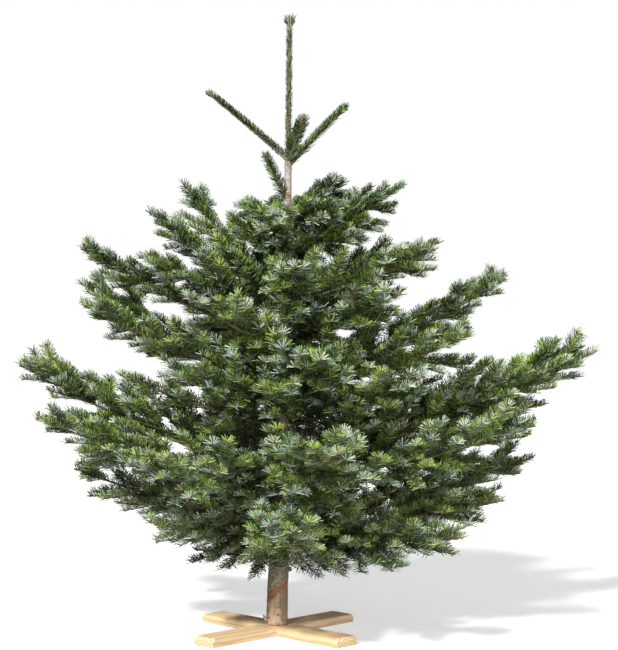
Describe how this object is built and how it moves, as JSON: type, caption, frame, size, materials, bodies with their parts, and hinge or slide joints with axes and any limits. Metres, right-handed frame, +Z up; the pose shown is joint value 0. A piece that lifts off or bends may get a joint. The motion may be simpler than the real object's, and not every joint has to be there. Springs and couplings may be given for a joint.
{
  "type": "christmas tree",
  "caption": "Cut fir for Christmas: a straight trunk with a long bare leader, whorled boughs of needled sprays and a peeled foot, pinned upright on a plain wooden cross stand.",
  "frame": {"origin": "on the floor, at the middle of the stand's flat underside and under the axis of the cut trunk", "axes": "+Z up along the trunk, +X to the right and -Y to the front as the picture shows the tree"},
  "size_m": [1.6585, 1.4198, 1.7753],
  "materials": {
    "bark": "rough",
    "needles": "satin",
    "pine": "matte",
    "steel": "satin"
  },
  "bodies": {
    "root": {"bough_low_4": "bark", "bough_wide_2": "bark", "bough_wide_3": "bark", "bough_wide_4": "bark", "bough_wide_5": "bark", "bough_wide_6": "bark", "foliage_between_1": "needles", "foliage_between_2": "needles", "foliage_between_3": "needles", "foliage_between_4": "needles", "foliage_collar_1": "needles", "foliage_crown_1": "needles", "foliage_crown_2": "needles", "foliage_crown_3": "needles", "foliage_fourth_1": "needles", "foliage_fourth_2": "needles", "foliage_fourth_3": "needles", "foliage_fourth_4": "needles", "foliage_fourth_5": "needles", "foliage_fourth_6": "needles", "foliage_fourth_7": "needles", "foliage_fourth_8": "needles", "foliage_inner_1": "needles", "foliage_inner_2": "needles", "foliage_inner_3": "needles", "foliage_low_1": "needles", "foliage_low_2": "needles", "foliage_low_3": "needles", "foliage_low_4": "needles", "foliage_low_5": "needles", "foliage_low_6": "needles", "foliage_low_7": "needles", "foliage_low_8": "needles", "foliage_second_1": "needles", "foliage_second_2": "needles", "foliage_second_3": "needles", "foliage_second_4": "needles", "foliage_second_5": "needles", "foliage_third_1": "needles", "foliage_third_2": "needles", "foliage_third_3": "needles", "foliage_third_4": "needles", "foliage_third_5": "needles", "foliage_third_6": "needles", "foliage_third_7": "needles", "foliage_upper_1": "needles", "foliage_upper_2": "needles", "foliage_upper_3": "needles", "foliage_wide_1": "needles", "foliage_wide_2": "needles", "foliage_wide_3": "needles", "foliage_wide_4": "needles", "foliage_wide_5": "needles", "foliage_wide_6": "needles", "foliage_wide_7": "needles", "foliage_wide_8": "needles", "stand_board_lower": "pine", "stand_board_upper": "pine", "stand_pin": "steel", "trunk": "bark"}
  },
  "joints": []
}
